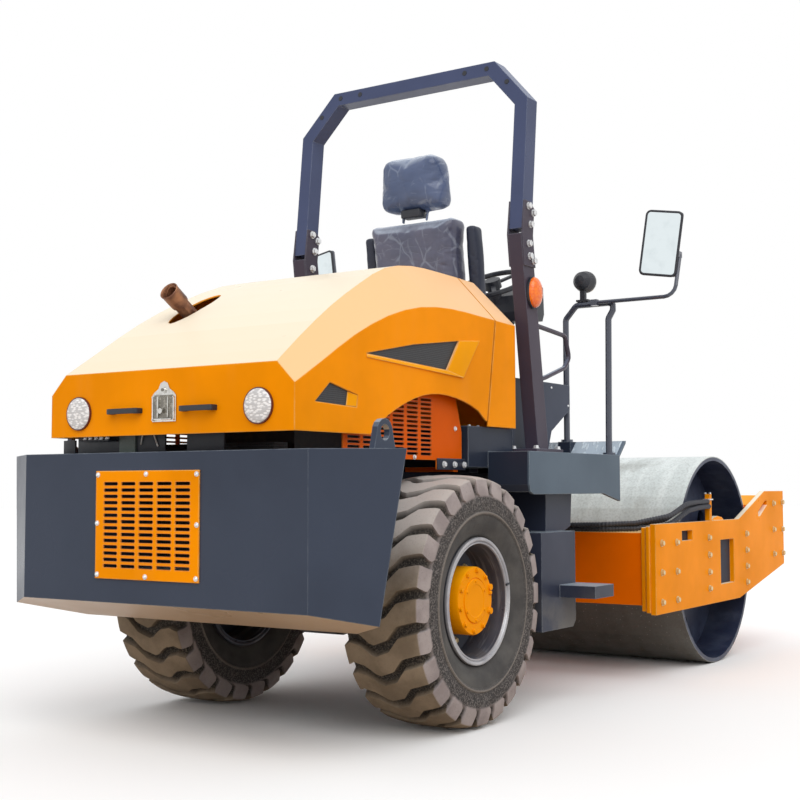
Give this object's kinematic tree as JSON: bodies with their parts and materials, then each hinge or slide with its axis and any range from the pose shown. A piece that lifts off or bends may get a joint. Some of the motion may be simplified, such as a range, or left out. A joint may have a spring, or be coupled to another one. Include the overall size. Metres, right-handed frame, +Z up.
{
  "type": "single-drum vibratory road roller",
  "caption": "Articulated single-drum road roller with a smooth steel drum, lugged rear tyres, tilting engine hood, open operator's platform and roll-over frame.",
  "frame": {"origin": "on the ground, at the middle of the machine's length and width", "axes": "+X forwards, towards the drum; +Y to the driver's left; +Z up"},
  "size_m": [4.8864, 2.3854, 3.143],
  "materials": {
    "amber_lens": "amber, clear",
    "bare_steel": "worn bare steel",
    "black_plastic": "black, matt",
    "chrome": "polished",
    "exhaust_steel": "heat-tinted",
    "hose_rubber": "black, with a spiral guard",
    "lamp_lens": "clear faceted",
    "orange_paint": "gloss orange enamel",
    "seat_vinyl": "dark vinyl under clear film",
    "silver_paint": "silver-grey enamel",
    "slate_paint": "satin dark blue-grey enamel",
    "tyre_rubber": "brown-grey, dusty"
  },
  "bodies": {
    "rear_frame": {"armrest_left": "seat_vinyl", "armrest_right": "seat_vinyl", "chassis": "slate_paint", "counterweight": "slate_paint", "cowl": "orange_paint", "engine_block": "black_plastic", "exhaust_pipe": "exhaust_steel", "handrail_left": "black_plastic", "handrail_right": "black_plastic", "headrest": "seat_vinyl", "indicator_left": "amber_lens", "indicator_right": "amber_lens", "mirror_left": "black_plastic", "mirror_right": "black_plastic", "platform": "slate_paint", "radiator": "black_plastic", "radiator_grille": "orange_paint", "rear_axle": "slate_paint", "rops_hoop": "slate_paint", "rops_post_left": "slate_paint", "rops_post_right": "slate_paint", "seat_back": "seat_vinyl", "seat_base": "slate_paint", "seat_cushion": "seat_vinyl", "side_console_left": "slate_paint", "side_console_right": "slate_paint", "side_panel_left": "orange_paint", "side_panel_right": "orange_paint", "side_tank_left": "slate_paint", "side_tank_right": "slate_paint", "steering_column": "black_plastic", "work_lamp_left": "black_plastic", "work_lamp_right": "black_plastic"},
    "hood": {"hood_shell": "orange_paint", "hood_mesh_right": "black_plastic", "hood_mesh_left": "black_plastic", "hood_latch": "chrome", "hood_handle_left": "black_plastic", "hood_handle_right": "black_plastic", "tail_lamp_right": "lamp_lens", "tail_lamp_left": "lamp_lens"},
    "front_frame": {"yoke_beam": "orange_paint", "front_beam": "orange_paint", "side_plate_right": "orange_paint", "side_plate_left": "orange_paint", "hose_bundle": "hose_rubber"},
    "drum": {"drum": "bare_steel"},
    "steering_wheel": {"steering_wheel": "black_plastic"},
    "wheel_right": {"tyre_right": "tyre_rubber", "wheel_rim_right": "silver_paint"},
    "steering_barrel_right": {"steering_barrel_right": "slate_paint"},
    "steering_rod_right": {"steering_rod_right": "chrome"},
    "wheel_left": {"tyre_left": "tyre_rubber", "wheel_rim_left": "silver_paint"},
    "steering_barrel_left": {"steering_barrel_left": "slate_paint"},
    "steering_rod_left": {"steering_rod_left": "chrome"}
  },
  "joints": [
    {"name": "centre_pivot", "type": "hinge", "parent": "rear_frame", "child": "front_frame", "pos_m": [-0.03935, 0, 0.59], "axis": [0, 0, 1], "range_deg": [-35, 35]},
    {"name": "hood_hinge", "type": "hinge", "parent": "rear_frame", "child": "hood", "pos_m": [-0.91935, 0, 1.955], "axis": [0, 1, 0], "range_deg": [0, 50]},
    {"name": "drum_axle", "type": "hinge", "parent": "front_frame", "child": "drum", "pos_m": [1.28065, 0, 0.6], "axis": [0, 1, 0], "continuous": true},
    {"name": "wheel_right_axle", "type": "hinge", "parent": "rear_frame", "child": "wheel_right", "pos_m": [-1.31935, -0.6425, 0.5375], "axis": [0, 1, 0], "continuous": true},
    {"name": "wheel_left_axle", "type": "hinge", "parent": "rear_frame", "child": "wheel_left", "pos_m": [-1.31935, 0.6425, 0.5375], "axis": [0, 1, 0], "continuous": true},
    {"name": "steering_wheel_turn", "type": "hinge", "parent": "rear_frame", "child": "steering_wheel", "pos_m": [0.08065, -0.1, 2.14], "axis": [-0.4695, 0, 0.8829], "range_deg": [-640, 640]},
    {"name": "steering_barrel_right_swing", "type": "hinge", "parent": "rear_frame", "child": "steering_barrel_right", "pos_m": [-0.61935, -0.18, 0.59], "axis": [0, 0, 1], "range_deg": [-6.88, 6.88]},
    {"name": "steering_rod_right_slide", "type": "slide", "parent": "steering_barrel_right", "child": "steering_rod_right", "axis": [0.9963, -0.0854, 0], "range_m": [-0.14, 0.14]},
    {"name": "steering_barrel_left_swing", "type": "hinge", "parent": "rear_frame", "child": "steering_barrel_left", "pos_m": [-0.61935, 0.18, 0.59], "axis": [0, 0, 1], "range_deg": [-6.88, 6.88]},
    {"name": "steering_rod_left_slide", "type": "slide", "parent": "steering_barrel_left", "child": "steering_rod_left", "axis": [0.9963, 0.0854, 0], "range_m": [-0.14, 0.14]}
  ],
  "couplings": [
    {"joint": "steering_wheel_turn", "follows": "centre_pivot", "ratio": 18},
    {"joint": "steering_barrel_right_swing", "follows": "centre_pivot", "ratio": 0.188},
    {"joint": "steering_rod_right_slide", "follows": "centre_pivot", "m_per_rad": 0.2242},
    {"joint": "steering_barrel_left_swing", "follows": "centre_pivot", "ratio": 0.188},
    {"joint": "steering_rod_left_slide", "follows": "centre_pivot", "m_per_rad": -0.2242}
  ]
}
